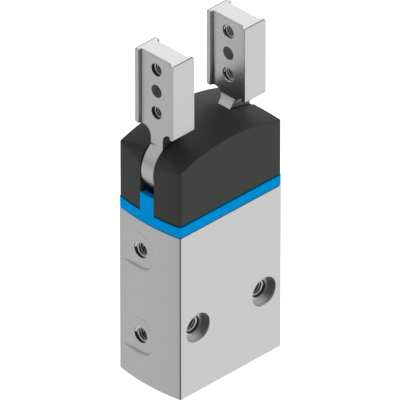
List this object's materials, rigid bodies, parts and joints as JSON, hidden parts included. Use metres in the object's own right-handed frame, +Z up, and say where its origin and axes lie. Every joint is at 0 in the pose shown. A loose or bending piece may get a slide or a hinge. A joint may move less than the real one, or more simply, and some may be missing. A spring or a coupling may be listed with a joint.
{
  "type": "radial gripper",
  "caption": "Small pneumatic radial gripper with swinging grooved jaws, a slotted black cap, a blue frame and an aluminium cylinder housing.",
  "frame": {"origin": "centre of the housing's bottom face", "axes": "+Z up along the cylinder towards the jaws, X from jaw to jaw with the air ports at -X, Y through the mounting holes"},
  "size_m": [0.0417, 0.024, 0.1066],
  "materials": {
    "housing_metal": "fine blasted, clear anodised",
    "frame_plastic": "satin blue",
    "cap_plastic": "satin black, fine moulded grain",
    "jaw_steel": "ground and hardened, satin",
    "pin_steel": "ground",
    "bush_bronze": "sintered bronze",
    "cover_metal": "turned",
    "spring_steel": "blackened",
    "seal_rubber": "moulded",
    "guide_plastic": "filled plastic",
    "magnet": "bonded magnet"
  },
  "bodies": {
    "housing": {"housing": "housing_metal", "blue_frame": "frame_plastic", "cover_cap": "cap_plastic", "left_pivot_pin": "pin_steel", "right_pivot_pin": "pin_steel", "end_cover": "cover_metal", "cover_o_ring": "seal_rubber", "retaining_ring": "spring_steel", "lower_bumper": "seal_rubber", "upper_bumper": "seal_rubber", "rod_seal": "seal_rubber", "rod_bush": "bush_bronze"},
    "left_jaw": {"left_jaw": "jaw_steel", "left_pivot_bush": "bush_bronze", "left_drive_pin": "pin_steel"},
    "right_jaw": {"right_jaw": "jaw_steel", "right_pivot_bush": "bush_bronze", "right_drive_pin": "pin_steel"},
    "piston": {"crosshead": "pin_steel", "crosshead_pin": "pin_steel", "piston_rod": "pin_steel", "piston": "cover_metal", "piston_crown": "cover_metal", "piston_magnet": "magnet", "lower_piston_seal": "seal_rubber", "upper_piston_seal": "seal_rubber", "guide_ring": "guide_plastic", "piston_nut": "pin_steel"}
  },
  "joints": [
    {"name": "left_jaw_pivot", "type": "hinge", "parent": "housing", "child": "left_jaw", "pos_m": [-0.012, 0, 0.07], "axis": [0, -1, 0], "range_deg": [0, 90]},
    {"name": "right_jaw_pivot", "type": "hinge", "parent": "housing", "child": "right_jaw", "pos_m": [0.012, 0, 0.07], "axis": [0, 1, 0], "range_deg": [0, 90]},
    {"name": "piston_slide", "type": "slide", "parent": "housing", "child": "piston", "axis": [0, 0, 1], "range_m": [0, 0.00735]}
  ],
  "couplings": [
    {"joint": "right_jaw_pivot", "follows": "left_jaw_pivot", "ratio": 1},
    {"joint": "piston_slide", "follows": "left_jaw_pivot", "m_per_rad": 0.0046816}
  ]
}
